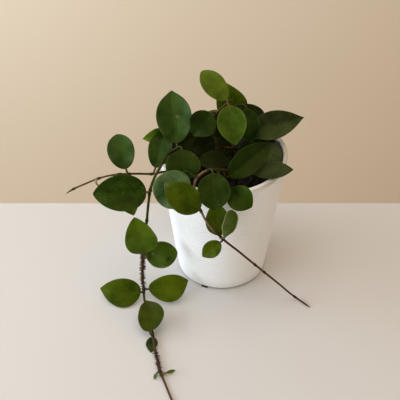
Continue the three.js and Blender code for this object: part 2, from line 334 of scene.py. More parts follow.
normal = node(ribs, "GeometryNodeInputNormal").outputs[0]
level = node(ribs, "ShaderNodeVectorMath", {0: normal, 1: (1, 1, 0)}, operation="MULTIPLY")
push = node(ribs, "ShaderNodeVectorMath", {0: level.outputs[0], "Scale": amount}, operation="SCALE")
moved = node(ribs, "GeometryNodeSetPosition",
             {"Geometry": given["Geometry"], "Offset": push.outputs[0]})
completed(ribs, given, result, moved.outputs[0])
shell = with_nodes(shell, ribs, Pitch=RIB_PITCH, Depth=RIB_DEPTH, Start=SMOOTH_FOOT,
                   End=lip[1] - SMOOTH_LIP, Material=glaze)

notch_corners = [v.co[:] for v in skin.verts if NOTCH_TOPS[0] < v.co.z < NOTCH_TOPS[1]]
notch_top = notch_corners[0][2]
notches = []
for angle in sorted(math.atan2(y, x) for x, y, _ in notch_corners):
    if notches and angle - notches[-1][-1] < NOTCH_STEP:
        notches[-1].append(angle)
    else:
        notches.append([angle])


def from_axis(angle, out, aside, up):
    """A place that lies out from the pot's axis, at an angle, and to one side of that line."""
    return (out * math.cos(angle) - aside * math.sin(angle),
            out * math.sin(angle) + aside * math.cos(angle), up)


cutters = bmesh.new()
for angles in notches:
    middle = (angles[0] + angles[-1]) / 2
    half = foot[0] * (angles[-1] - angles[0]) / 2
    for v in bmesh.ops.create_cube(cutters, size=1)["verts"]:
        v.co = from_axis(middle, foot[0] + 0.012 * v.co.x, 2 * half * v.co.y,
                         2 * notch_top * v.co.z)
cutter_mesh = bpy.data.meshes.new("notch_cutters")
cutters.to_mesh(cutter_mesh)
cutter = bpy.data.objects.new("notch_cutters", cutter_mesh)
uncut = bpy.data.objects.new("uncut_pot", shell)
for made in (cutter, uncut):
    bpy.context.collection.objects.link(made)
cut = uncut.modifiers.new("notches", "BOOLEAN")
cut.operation, cut.object, cut.solver = "DIFFERENCE", cutter, "EXACT"
shell = grown(uncut)
bpy.data.objects.remove(cutter)
skin.free()

where = place_of(tree)
rise = part_of(tree, where, "Z")
tone = blend(tree, noise(tree, where, 14, 4, 0.6), (0.87, 0.865, 0.855, 1),
             (0.91, 0.905, 0.895, 1))

# Painted shade: the grooves between the ribs and the lip away from the window are painted
# darker. Round the foot the glaze darkens in patches towards the bottom.
# Painted shade in the grooves between the ribs.
phase = maths(tree, "MULTIPLY", maths(tree, "SUBTRACT", rise, SMOOTH_FOOT), math.pi / RIB_PITCH)
groove = remap(tree, maths(tree, "ABSOLUTE", maths(tree, "SINE", phase)), 0.0, 0.45, 1.0, 0.0)
ribbed = maths(tree, "MULTIPLY", maths(tree, "GREATER_THAN", rise, SMOOTH_FOOT),
               maths(tree, "LESS_THAN", rise, lip[1] - SMOOTH_LIP))
tone = blend(tree, maths(tree, "MULTIPLY", maths(tree, "MULTIPLY", groove, ribbed), 0.22), tone,
             (0.56, 0.53, 0.49, 1))
# Darker in patches towards the bottom, over the lowest 12 mm.
foot_darkening = maths(tree, "MULTIPLY", remap(tree, rise, 0.0, 0.012, 0.5, 0.0),
             remap(tree, noise(tree, where, 60, 5, 0.7), 0.35, 0.7))
tone = blend(tree, foot_darkening, tone, (0.60, 0.56, 0.50, 1))
# Painted shade: the lip on the side away from the window is painted grey-brown.
away = maths(tree, "ADD", part_of(tree, where, "X"),
             remap(tree, noise(tree, where, 40, 3), 0, 1, -0.012, 0.012))
far_lip_shade = maths(tree, "MULTIPLY", remap(tree, away, 0.030, 0.050, 0.0, 0.8),
             remap(tree, rise, lip[1] - 0.008, lip[1] - 0.003))
tone = blend(tree, far_lip_shade, tone, (0.40, 0.36, 0.27, 1))

# Painted shade: the inside wall is painted near-black nearly to the lip, and the underside
# within the foot and the notches is painted near-black too.
level = node(tree, "ShaderNodeVectorMath", {0: where, 1: (1, 1, 0)}, operation="MULTIPLY")
radius = node(tree, "ShaderNodeVectorMath", {0: level.outputs[0]},
              operation="LENGTH").outputs["Value"]
slope = (below_inside_lip[0] - floor_edge[0]) / (below_inside_lip[1] - floor_edge[1])
depth = maths(tree, "SUBTRACT", radius, maths(tree, "MULTIPLY", rise, slope))
inner_face = floor_edge[0] - slope * floor_edge[1]
# Painted shade: near-black on the inside wall, up to just below the lip.
inside_shade_edge = maths(tree, "ADD", rise, remap(tree, noise(tree, where, 70, 5, 0.7), 0, 1, -0.006, 0.006))
inside_shade = maths(tree, "MULTIPLY", maths(tree, "LESS_THAN", depth, inner_face + 0.0015),
              remap(tree, inside_shade_edge, lip[1] - INSIDE_SHADE_TOP, lip[1] - INSIDE_SHADE_TOP / 4, 0.95, 0.0))
tone = blend(tree, inside_shade, tone, (0.035, 0.028, 0.02, 1))
# Painted shade: near-black under the foot and in the notches.
underfoot_shade = maths(tree, "MULTIPLY", maths(tree, "LESS_THAN", rise, notch_top * 1.1),
              remap(tree, radius, foot[0] - 0.0012, foot[0] - 0.0005, 1.0, 0.0))
tone = blend(tree, underfoot_shade, tone, (0.012, 0.010, 0.008, 1))
tree.links.new(tone, shader.inputs["Base Color"])
gloss = remap(tree, noise(tree, where, 45, 5, 0.6), 0.2, 0.8, 0.36, 0.52)
tree.links.new(blend(tree, inside_shade, gloss, (0.95, 0.95, 0.95, 1)), shader.inputs["Roughness"])
tree.links.new(remap(tree, inside_shade, 0, 1, 0.15, 0.0), shader.inputs["Coat Weight"])
bumped(tree, shader, noise(tree, where, 900, 2), 0.00006, 0.5)
shell.materials.clear()
shell.materials.append(glaze)
seated("ribbed_pot", shell, "pot", "pot")

# ---- Soil ----
# Dark, moist potting soil fills the pot to some way below the lip. Its surface is a crust of
# small crumbs and bits of bark. Dark soil-coloured plugs in the drainage notches are painted shade.
SHADE_PLUG_LIP = 0.0022  # how far the dark plug, painted shade, stands out in front of the foot
SHADE_PLUG_DEPTH = 0.005  # and how thick it is from there
earth, tree, shader = new_material("dark_soil", Roughness=0.95)
where = place_of(tree)
tone = blend(tree, noise(tree, where, 260, 5, 0.7), (0.003, 0.0024, 0.0016, 1),
             (0.016, 0.011, 0.007, 1))
flecks = remap(tree, noise(tree, where, 700, 2), 0.68, 0.74)
tone = blend(tree, flecks, tone, (0.06, 0.038, 0.022, 1))
tree.links.new(tone, shader.inputs["Base Color"])
bumped(tree, shader, noise(tree, where, 420, 5, 0.7), 0.0012)
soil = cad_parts["soil"].data
soil.materials.clear()
soil.materials.append(earth)


def random_size(tree, low, high, seed):
    return node(tree, "FunctionNodeRandomValue", {2: low, 3: high, "Seed": seed},
                data_type="FLOAT").outputs[1]


def random_vector(tree, low, high, seed):
    return node(tree, "FunctionNodeRandomValue", {0: low, 1: high, "Seed": seed},
                data_type="FLOAT_VECTOR").outputs[0]


def sown(tree, given, result, points, shape, turn, scale):
    """Ends a tree with its shape on every point, turned and scaled."""
    spread = node(tree, "GeometryNodeInstanceOnPoints",
                  {"Points": points.outputs["Points"], "Instance": shape.outputs["Mesh"],
                   "Rotation": turn, "Scale": scale})
    completed(tree, given, result, spread.outputs[0])


crumbs, given, result = new_tree("crumbs", Density="Float", Smallest="Float", Largest="Float",
                                 Seed="Int")
points = node(crumbs, "GeometryNodeDistributePointsOnFaces",
              {"Mesh": given["Geometry"], "Density": given["Density"], "Seed": given["Seed"]})
crumb = node(crumbs, "GeometryNodeMeshIcoSphere", {"Radius": 1.0, "Subdivisions": 1})
turn = random_vector(crumbs, (0, 0, 0), (6.3, 6.3, 6.3), given["Seed"])
size = random_size(crumbs, given["Smallest"], given["Largest"], given["Seed"])
squash = random_vector(crumbs, (0.5, 0.5, 0.4), (1, 1, 0.8), 8)
scale = node(crumbs, "ShaderNodeVectorMath", {0: squash, "Scale": size}, operation="SCALE")
sown(crumbs, given, result, points, crumb, turn, scale.outputs[0])

surface = merged_copy("soil")
bmesh.ops.delete(surface, geom=[f for f in surface.faces if f.normal.z < 0.5], context="FACES")
top = bpy.data.meshes.new("soil_surface")
surface.to_mesh(top)
surface.free()
crust = with_nodes(top, crumbs, Density=110000.0, Smallest=0.0006, Largest=0.0022, Seed=3,
                   Material=earth)
seated("soil_crumbs", crust, "soil", smooth=False)

# Painted shade: dark soil-coloured plugs fill the notches, where their hollows lie in shade.
shade_plug = bmesh.new()
for angles in notches:
    middle, half = sum(angles) / len(angles), foot[0] * (angles[-1] - angles[0]) / 2
    outer_face = foot[0] + SHADE_PLUG_LIP
    for v in bmesh.ops.create_cube(shade_plug, size=1)["verts"]:
        behind, upper = v.co.x < 0, v.co.z > 0
        out = outer_face - (SHADE_PLUG_DEPTH if behind else SHADE_PLUG_LIP if upper else 0)
        v.co = from_axis(middle, out, 1.96 * half * v.co.y, 0.97 * notch_top if upper else 0)
plugs = bpy.data.meshes.new("notch_shade_plug")
shade_plug.to_mesh(plugs)
shade_plug.free()
plugs.materials.append(earth)
seated("notch_shade_plug", plugs, "soil")

# ---- Leaves ----
# Hoya leaves are thick, stiff and waxy. Each has a sunken midrib, faint arching side veins and a
# rounded margin, and stands on a short stout stalk. They differ in age: young ones are bright
# yellow-green, old ones deep green, and a few are frosted grey by their wax. Their margins are
# painted paler as painted edge light, and the leaves that lie in the plant's shade take darker
# finishes as painted shade.
LEAF_POINTS = 9  # round a leaf's skin in the CAD model
LEAST_RISE = 0.0002  # of a leaf that lies on the surface
THICKNESS = 0.0013  # of a blade, where it meets the stalk
STALK = 0.00105  # radius
ROW = 0.0008  # between the rows of points along a blade, and along a stalk half as much again
CHANNEL, CHANNEL_WIDTH = 0.00028, 0.0009  # depth and half width of the sunken midrib
KEEL, KEEL_WIDTH = 0.00045, 0.0011  # height and half width of its ridge underneath
VEIN_RELIEF, VEIN_WIDTH = 0.00006, 0.13  # height, and half width as a share of their spacing
VEINS = 8.0  # on each side of the midrib
VEIN_SWEEP = 0.36  # how far, as a share of the blade, a vein runs forward to the margin
FOLD = 0.1  # how steeply the halves rise from the midrib, unless DEEP_CREASE says more
WAVE = 0.0005  # height of the waves in the blade and its margin
CURL = 0.03  # how far the tip bends down, as a share of the blade
DRIP_TIP = 0.1  # how much a pointed blade narrows before its tip
SHORT_BLADE = 0.015  # below this a leaf is a sprout, and needs fewer points


def loft_rings(name, around):
    """The first pole, the rings and the last pole of a CAD skin."""
    work = merged_copy(name)
    poles = [v for v in work.verts if len(v.link_edges) == around]
    level = {poles[0]: 0}
    front = [poles[0]]
    while front:
        reached = {e.other_vert(v) for v in front for e in v.link_edges} - level.keys()
        for v in reached:
            level[v] = level[front[0]] + 1
        front = list(reached)
    rings = []
    for k in range(1, level[poles[1]]):
        ring = [min((v for v in level if level[v] == k), key=lambda v: v.index)]
        while len(ring) < around:
            beside = [e.other_vert(ring[-1]) for e in ring[-1].link_edges]
            ring.append(min((v for v in beside if level[v] == k and v not in ring),
                            key=lambda v: v.index))
        rings.append([v.co[:] for v in ring])
    ends = [np.array(p.co) for p in poles]
    work.free()
    return ends[0], np.array(rings), ends[1]


def unit(v):
    return v / np.maximum(np.linalg.norm(v, axis=-1, keepdims=True), 1e-12)


def outline(share, fullness, bluntness):
    """Half a blade's width over its greatest half width, at a share of its length."""
    half = lambda s: np.sqrt(s) * (1 - s ** fullness) ** bluntness
    return half(share) / half((1 + 2 * fullness * bluntness) ** (-1 / fullness))


def smooth(value, low, high):
    t = np.clip((value - low) / (high - low), 0, 1)
    return t * t * (3 - 2 * t)


def ripple(x, y, seed):
    """Slow waves over a surface, between -1 and 1."""
    draw = random.Random(seed)
    total = 0
    for k in (1, 2, 3):
        turn, phase = draw.uniform(0, math.pi), draw.uniform(0, 2 * math.pi)
        total = total + np.sin(k * (x * math.cos(turn) + y * math.sin(turn)) + phase) / k
    return total / 1.83


def read_leaf(name):
    """A leaf's own measures, from its CAD skin: where it stands and how its blade is laid."""
    foot, rings, tip = loft_rings(name, LEAF_POINTS)
    if np.ptp(rings[1], axis=0).max() > np.ptp(rings[-2], axis=0).max():
        foot, rings, tip = tip, rings[::-1], foot
    blade = rings[2:]
    chords = blade - np.roll(blade, -4, axis=1)
    widest = np.unravel_index(np.argmax(np.linalg.norm(chords, axis=2)), chords.shape[:2])
    margins = np.abs(chords @ unit(chords[widest])).argmax(1)
    left, right, upper, ridge = [], [], [], []
    for ring, j in zip(blade, margins):
        left.append(ring[j])
        right.append(ring[(j + 4) % LEAF_POINTS])
        upper.append(ring[(j + 2) % LEAF_POINTS])
        ridge.append((ring[(j + 6) % LEAF_POINTS] + ring[(j + 7) % LEAF_POINTS]) / 2)
        if np.cross(tip - foot, upper[-1] - ridge[-1]) @ (left[-1] - right[-1]) < 0:
            left[-1], right[-1] = right[-1], left[-1]
    return foot, rings[:2].mean(1), *(np.array(v) for v in (left, right, upper, ridge)), tip


def fitted(at, points, degree, where):
    """Points on a smooth curve near the given ones, which stand at the shares in at."""
    return np.array([np.polyval(np.polyfit(at, column, degree), where) for column in points.T]).T


def leaf_mesh(name, crease, marks):
    """A leaf grown round its CAD skin: the same place, length and width, with a living form."""
    draw = random.Random(name)
    foot, stalk_centres, left, right, upper, ridge, tip = read_leaf(name)
    middle = upper * 0.58 + ridge * 0.42
    base = middle[0]
    length = np.linalg.norm(tip - base)
    along = unit(tip - base)
    share = np.clip((middle - base) @ along / length, 0, 1)
    half = np.linalg.norm(left - right, axis=1) / 2
    rise = (left + right) / 2 - middle
    fit = min(((n, e) for n in np.arange(1.2, 3.2, 0.1) for e in np.arange(0.5, 1.45, 0.05)),
              key=lambda p: np.sum((outline(share[2:], *p) * half[2:].max()
                                    / outline(share[2:], *p).max() - half[2:]) ** 2))
    full = half[2:].max() / outline(share[2:], *fit).max()

    rows = int(np.clip(length / ROW + 8, 14, 64))
    around = 36 if length > SHORT_BLADE else 16
    s = (1 - np.cos(np.pi * np.linspace(0, 1, rows + 1)[:-1])) / 2 * 0.997
    s = 0.5 * s + 0.5 * np.linspace(0, 0.985, rows)
    at, course = np.append(share, 1.0), np.vstack([middle, tip])
    spine, start = fitted(at, course, 2, s), fitted(at, course, 2, 0.0)
    aside = unit(fitted(share[1:], unit(left - right)[1:], 1, s))
    heading = unit(np.gradient(spine, axis=0))
    aside = unit(aside - along * (aside @ along)[:, None])
    up = unit(np.cross(aside, heading))

    pointed = smooth(np.array([fit[1]]), 0.6, 0.9)[0]
    widths = full * outline(s, *fit) * (1 - DRIP_TIP * pointed * smooth(s, 0.8, 1.0) * (1 - s) * 6)
    widths = np.maximum(widths, STALK * (1 - smooth(s, 0, 0.05)))
    theta = np.linspace(0, 2 * np.pi, around, endpoint=False)
    t = np.cos(theta)
    face = np.sign(np.round(np.sin(theta), 6))
    y = widths[:, None] * t
    S = np.broadcast_to(s[:, None], y.shape)
    body = THICKNESS / 2 * (1 - 0.45 * s) + (STALK - THICKNESS / 2) * (1 - smooth(s, 0, 0.12))
    flat = (1 - np.abs(t) ** 5) ** 0.45
    swell = np.where(S < 0.08, np.abs(np.sin(theta)) * (1 - S / 0.08) + (S / 0.08) * flat, flat)
    z = face * body[:, None] * swell
    open_blade = smooth(S, 0.02, 0.2)
    channel = np.exp(-(y / CHANNEL_WIDTH) ** 2) * (1 - 0.75 * S) * open_blade
    z -= np.where(face > 0, CHANNEL, 0) * channel
    keel = np.exp(-(y / KEEL_WIDTH) ** 2) * (1 - S)
    z -= np.where(face < 0, KEEL, 0) * keel
    arc = (S - VEIN_SWEEP * np.abs(t) ** 1.2) * VEINS + draw.random()
    side_vein = np.exp(-((arc - np.round(arc)) / VEIN_WIDTH) ** 2) * (1 - np.abs(t) ** 6)
    z -= VEIN_RELIEF * face * side_vein * open_blade * (np.abs(y) > 0.0005)
    lift = np.mean((rise * up[np.searchsorted(s, share) - 1]).sum(1)[2:] / half[2:])
    bend = lift * np.abs(t) ** 2 * widths[:, None] + crease * np.abs(y) * open_blade
    bend += WAVE * ripple(S * 7, y / 0.006, name) * open_blade
    frill = np.sin(S * draw.uniform(9, 15) + draw.uniform(0, 6))
    bend += WAVE * np.abs(t) ** 3 * frill * open_blade
    bend -= CURL * length * smooth(S, 0.55, 1.0) ** 2
    centred = crease * widths[:, None] * 0.35 * open_blade
    skin = (spine[:, None] + aside[:, None] * y[:, :, None]
            + up[:, None] * (z + bend - centred)[:, :, None])

    out = unit(stalk_centres[0] - foot)
    reach = 0.4 * np.linalg.norm(foot - start)
    p0, p1, p2, p3 = foot - out * 0.0008, foot + out * reach, start - along * reach, start
    steps = max(5, int(np.linalg.norm(p0 - p3) / (ROW * 1.5)))
    u = np.linspace(0, 1, steps + 1)[:-1, None]
    line = (1 - u) ** 3 * p0 + 3 * (1 - u) ** 2 * u * p1 + 3 * (1 - u) * u * u * p2 + u ** 3 * p3
    going = unit(np.gradient(np.vstack([line, p3]), axis=0))[:-1]
    girth = STALK * (1 + 0.35 * np.exp(-(u[:, 0] / 0.16) ** 2) + 0.12 * smooth(u[:, 0], 0.7, 1))
    lie = unit(aside[0] - going * (going @ aside[0])[:, None])
    over = np.cross(lie, going)
    stem = (line[:, None] + girth[:, None, None] * (lie[:, None] * t[None, :, None]
            + over[:, None] * np.sin(theta)[None, :, None]))

    points = np.concatenate([stem, skin])
    points[..., 2] = np.maximum(points[..., 2], LEAST_RISE)
    end = spine[-1] + (spine[-1] - spine[-2]) * 0.8 + up[-1] * bend[-1].mean()
    mesh = outwards(skinned(name, points, line[0] - out * 0.0002, end))
    blade = np.zeros((*points.shape[:2], 3))
    span = np.zeros_like(blade)
    blade[..., 0] = t
    blade[:steps, :, 1] = -1 + u
    blade[steps:, :, 1] = S
    blade[..., 2] = np.where(np.abs(face) < 0.5, 0.5, (face + 1) / 2)
    span[steps:, :, 0] = y * 1000
    span[steps:, :, 1] = S * length * 1000
    span[..., 2] = draw.random() * 10
    spot_and_glint = np.zeros(points.shape[:2])
    for at_side, at_length, size, strength in marks:
        away = np.hypot(y - widths[:, None] * at_side, (S - at_length) * length)
        spot_and_glint[steps:] += strength * np.exp(-(away / size) ** 2)
    mesh.attributes.new("spot_and_glint", "FLOAT", "POINT").data.foreach_set(
        "value", np.append(spot_and_glint.ravel(), (0, 0)))
    for key, values, last in (("blade", blade, (0, 1, 0.5)), ("span", span, (0, length * 1000, 0))):
        flat = np.vstack([values.reshape(-1, 3), values[0, 0], last])
        mesh.attributes.new(key, "FLOAT_VECTOR", "POINT").data.foreach_set("vector", flat.ravel())
    return mesh


pattern = bpy.data.node_groups.new("blade_pattern", "ShaderNodeTree")
for key in ("Midrib", "Veins", "Margin", "Underside", "Stalk", "Cloud", "Flecks", "Grain", "Scar_And_Glint",
            "Bruise"):
    pattern.interface.new_socket(key, in_out="OUTPUT", socket_type="NodeSocketFloat")
pattern.interface.new_socket("Fleck Size", in_out="INPUT", socket_type="NodeSocketFloat")
given = pattern.nodes.new("NodeGroupInput").outputs
result = pattern.nodes.new("NodeGroupOutput").inputs
place = place_of(pattern)
blade = node(pattern, "ShaderNodeAttribute", attribute_name="blade").outputs["Vector"]
across = maths(pattern, "ABSOLUTE", part_of(pattern, blade, "X"))
share, face = part_of(pattern, blade, "Y"), part_of(pattern, blade, "Z")
span = node(pattern, "ShaderNodeAttribute", attribute_name="span").outputs["Vector"]
aside = maths(pattern, "ABSOLUTE", part_of(pattern, span, "X"))
seed = part_of(pattern, span, "Z")
on_blade = remap(pattern, share, -0.02, 0.06)
midrib = remap(pattern, aside, 0.25, 1.1, 1.0, 0.0)
midrib = maths(pattern, "MULTIPLY", midrib, remap(pattern, share, 0.3, 1.0, 1.0, 0.25))
wobble = maths(pattern, "MULTIPLY", noise(pattern, place, 120, 2), 0.35)
arc = maths(pattern, "SUBTRACT", share, maths(pattern, "MULTIPLY", maths(
    pattern, "POWER", across, 1.2), VEIN_SWEEP))
arc = maths(pattern, "ADD", maths(pattern, "MULTIPLY", arc, VEINS),
            maths(pattern, "ADD", seed, wobble))
saw = maths(pattern, "ABSOLUTE", maths(pattern, "SUBTRACT", maths(pattern, "FRACT", arc), 0.5))
veins = maths(pattern, "MULTIPLY", remap(pattern, saw, 0.36, 0.5), remap(
    pattern, across, 0.75, 0.98, 1.0, 0.0))
# Painted light: the margin is painted paler, as edge light on the thick rounded edge.
edge_light = remap(pattern, across, 0.86, 0.97)
patches = remap(pattern, noise(pattern, place, 55, 2), 0.48, 0.62)
specks = remap(pattern, noise(pattern, place, given["Fleck Size"], 2, 0.6), 0.65, 0.71)
ragged = remap(pattern, noise(pattern, place, 300, 3, 0.7), 0.3, 0.6)
# Painted glint: the pale spot on left_trail_leaf_1. The other spots are the leaves' own marks.
spot_and_glint = maths(pattern, "MULTIPLY", ragged, node(
    pattern, "ShaderNodeAttribute", attribute_name="spot_and_glint").outputs["Fac"])
for key, value in {
    "Scar_And_Glint": remap(pattern, spot_and_glint, 0.0, 1.0, 0.0, 0.9),
    "Bruise": remap(pattern, spot_and_glint, 0.0, -1.0),
    "Midrib": maths(pattern, "MULTIPLY", midrib, on_blade),
    "Veins": maths(pattern, "MULTIPLY", veins, on_blade),
    "Margin": maths(pattern, "MULTIPLY", edge_light, on_blade),
    "Underside": remap(pattern, face, 0.6, 0.4),
    "Stalk": maths(pattern, "SUBTRACT", 1.0, on_blade),
    "Cloud": noise(pattern, place, 55, 4, 0.6),
    "Flecks": maths(pattern, "MULTIPLY", maths(pattern, "MULTIPLY", patches, specks), on_blade),
    "Grain": noise(pattern, place, 1500, 3, 0.6),
}.items():
    pattern.links.new(value, result[key])

# Each finish: deep and light green, the colours of vein, painted edge light and stalk, how
# strongly its flecks are frosted, and the roughness of its wax.
FINISHES = {
    # Painted shade: shaded_green and dusky_green are darker copies for leaves in the plant's shade.
    "shaded_green": ((0.0010, 0.003, 0.0001), (0.006, 0.011, 0.0004), (0.022, 0.033, 0.005),
                     (0.020, 0.028, 0.004), (0.025, 0.018, 0.006), 0.05, 0.50),
    "dark_green": ((0.002, 0.009, 0.0004), (0.012, 0.029, 0.0018), (0.035, 0.055, 0.007),
                   (0.030, 0.045, 0.006), (0.020, 0.022, 0.005), 0.25, 0.40),
    "speckled_green": ((0.002, 0.010, 0.0001), (0.014, 0.038, 0.0004), (0.030, 0.050, 0.005),
                       (0.030, 0.045, 0.005), (0.045, 0.032, 0.012), 0.65, 0.40),
    "dusky_green": ((0.0008, 0.005, 0.0001), (0.006, 0.020, 0.0004), (0.022, 0.046, 0.005),
                    (0.020, 0.038, 0.005), (0.020, 0.022, 0.005), 0.20, 0.42),
    "rich_green": ((0.003, 0.012, 0.0001), (0.019, 0.048, 0.0005), (0.035, 0.060, 0.005),
                   (0.035, 0.050, 0.005), (0.016, 0.018, 0.004), 0.10, 0.40),
    "pale_edged": ((0.040, 0.076, 0.005), (0.108, 0.165, 0.025), (0.11, 0.16, 0.045),
                   (0.36, 0.40, 0.18), (0.08, 0.07, 0.03), 0.05, 0.40),
    "deep_green": ((0.005, 0.018, 0.0003), (0.026, 0.056, 0.0015), (0.045, 0.080, 0.012),
                   (0.050, 0.075, 0.016), (0.050, 0.036, 0.012), 0.18, 0.34),
    "fresh_green": ((0.017, 0.040, 0.0015), (0.052, 0.090, 0.0060), (0.080, 0.12, 0.018),
                    (0.110, 0.14, 0.030), (0.070, 0.060, 0.015), 0.22, 0.38),
    "spring_green": ((0.036, 0.074, 0.0008), (0.082, 0.142, 0.0030), (0.10, 0.15, 0.014),
                     (0.10, 0.13, 0.014), (0.070, 0.060, 0.015), 0.15, 0.38),
    "bright_green": ((0.048, 0.074, 0.004), (0.092, 0.126, 0.010), (0.14, 0.17, 0.032),
                     (0.12, 0.15, 0.030), (0.10, 0.10, 0.03), 0.25, 0.40),
    "olive_green": ((0.018, 0.036, 0.0002), (0.055, 0.082, 0.0008), (0.085, 0.10, 0.008),
                    (0.070, 0.075, 0.008), (0.045, 0.028, 0.012), 0.05, 0.40),
    "ripe_olive": ((0.013, 0.023, 0.0001), (0.038, 0.049, 0.0004), (0.060, 0.070, 0.006),
                   (0.050, 0.055, 0.006), (0.045, 0.028, 0.012), 0.05, 0.42),
    "light_olive": ((0.026, 0.048, 0.0003), (0.075, 0.104, 0.0012), (0.11, 0.13, 0.010),
                    (0.090, 0.10, 0.010), (0.045, 0.028, 0.012), 0.05, 0.40),
    "frosted": ((0.018, 0.046, 0.010), (0.086, 0.145, 0.055), (0.17, 0.24, 0.12),
                (0.15, 0.21, 0.10), (0.016, 0.026, 0.005), 0.50, 0.48),
    "grey_green": ((0.008, 0.015, 0.004), (0.039, 0.054, 0.019), (0.075, 0.088, 0.036),
                   (0.065, 0.075, 0.030), (0.06, 0.05, 0.015), 0.30, 0.46),
}
PLAIN_VEINS, VEIN_SHARE = 0.07, {"frosted": 0.12, "grey_green": 0.15}  # of the vein's colour
PLAIN_EDGE_LIGHT, EDGE_LIGHT_SHARE = 0.45, {"pale_edged": 0.95}  # of the painted edge light's colour
PLAIN_WAX = 0.22, (0.75, 0.95, 0.22, 1)  # how strongly it reflects, and its tint
WAX = {"deep_green": (0.27, (0.70, 1.0, 0.50, 1))}
FROST, SCAR_AND_GLINT, BRUISE = (0.24, 0.28, 0.20, 1), (0.22, 0.24, 0.12, 1), (0.006, 0.006, 0.003, 1)
FLECK_SIZE = 520.0
leaf_finish = {}
for name, (deep, light, vein, edge_light, stalk, fleck, gloss) in FINISHES.items():
    level, tint = WAX.get(name, PLAIN_WAX)
    paint, tree, shader = new_material(f"{name}_leaf", Roughness=gloss, Specular_IOR_Level=level,
                                       Specular_Tint=tint)
    marks = node(tree, "ShaderNodeGroup", node_tree=pattern)
    marks.inputs["Fleck Size"].default_value = FLECK_SIZE
    marks = marks.outputs
    tone = blend(tree, remap(tree, marks["Cloud"], 0.34, 0.66), (*deep, 1), (*light, 1))
    pale = tuple(0.55 * a + 0.45 * b + 0.02 for a, b in zip(light, vein))
    for mark, amount, colour in (
        ("Veins", VEIN_SHARE.get(name, PLAIN_VEINS), (*vein, 1)), ("Midrib", 0.14, (*vein, 1)),
        ("Margin", EDGE_LIGHT_SHARE.get(name, PLAIN_EDGE_LIGHT), (*edge_light, 1)), ("Flecks", fleck, FROST),
        ("Scar_And_Glint", 1.0, SCAR_AND_GLINT), ("Bruise", 1.0, BRUISE), ("Underside", 0.7, (*pale, 1)),
        ("Stalk", 1.0, (*stalk, 1)),
    ):
        tone = blend(tree, maths(tree, "MULTIPLY", marks[mark], amount), tone, colour)
    tree.links.new(tone, shader.inputs["Base Color"])
    rough = remap(tree, marks["Cloud"], 0.2, 0.8, gloss - 0.07, gloss + 0.10)
    tree.links.new(blend(tree, marks["Underside"], rough, (0.6, 0.6, 0.6, 1)),
                   shader.inputs["Roughness"])
    relief = maths(tree, "SUBTRACT", maths(tree, "MULTIPLY", marks["Grain"], 0.4), marks["Veins"])
    bumped(tree, shader, relief, 0.00012, 0.6)
    leaf_finish[name] = paint

# Leaves by the finish they have. The rest are dark green.
LEAVES_OF = {
    "shaded_green": {"inner_shoot": (1, 2, 3, 4), "back_shoot": (2,), "rim_shoot": (3, 4)},
    "speckled_green": {"left_trail": (3,)},
    "dusky_green": {"front_trail": (1,), "crown_stem": (3,)},
    "rich_green": {"front_trail": (2,)},
    "pale_edged": {"front_trail": (7,)},
    "deep_green": {"left_trail": (1,), "left_shoot": (1, 2), "back_trail": (1, 4),
                   "back_shoot": (4, 6)},
    "fresh_green": {"crown_stem": (2,), "left_trail": (5,), "back_trail": (6,)},
    "spring_green": {"left_trail": (4,), "back_shoot": (1,)},
    "bright_green": {"crown_stem": (1,), "left_trail": (10, 11), "left_shoot": (3,)},
    "olive_green": {"left_trail": (6,), "front_trail": (5, 8), "back_shoot": (5,)},
    "ripe_olive": {"left_trail": (8,)},
    "light_olive": {"left_trail": (7,), "front_trail": (6,), "right_shoot": (2,),
                    "back_trail": (2,)},
    "frosted": {"front_trail": (4,)},
    "grey_green": {"right_shoot": (1,), "rim_shoot": (1, 2), "left_trail": (9,),
                   "back_trail": (5,)},
}
finish_of = {f"{vine}_leaf_{n}": finish for finish, leaves in LEAVES_OF.items()
             for vine, numbers in leaves.items() for n in numbers}
DEEP_CREASE = {  # leaves that fold along their midrib, so that one half catches the light
    "left_trail_leaf_1": 0.24, "left_shoot_leaf_2": 0.18, "left_shoot_leaf_1": 0.2,
    "left_trail_leaf_3": 0.16, "front_trail_leaf_1": 0.18, "right_shoot_leaf_1": 0.2,
}
# The pale spot on left_trail_leaf_1 is a painted glint; the dry tip, the bruise and the other pale
# spot are the leaves' own marks.
SPOTS_AND_GLINT = {  # place across and along the blade, radius, and how pale or, below 0, how dark
    "front_trail_leaf_5": ((0.0, 0.93, 0.003, 0.55),),
    "left_trail_leaf_5": ((0.4, 0.68, 0.0024, -1.8), (-0.2, 0.23, 0.0014, 0.9)),
    "left_trail_leaf_1": ((0.15, 0.48, 0.0012, 0.9),),
}
leaf_feet = {}
for name in sorted(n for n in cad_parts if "_leaf_" in n):
    mesh = leaf_mesh(name, DEEP_CREASE.get(name, FOLD), SPOTS_AND_GLINT.get(name, ()))
    mesh.materials.append(leaf_finish[finish_of.get(name, "dark_green")])
    seated(f"{name}_waxy", mesh, "leaf", name)
    leaf_feet.setdefault(name.split("_leaf_")[0], []).append(read_leaf(name)[0])

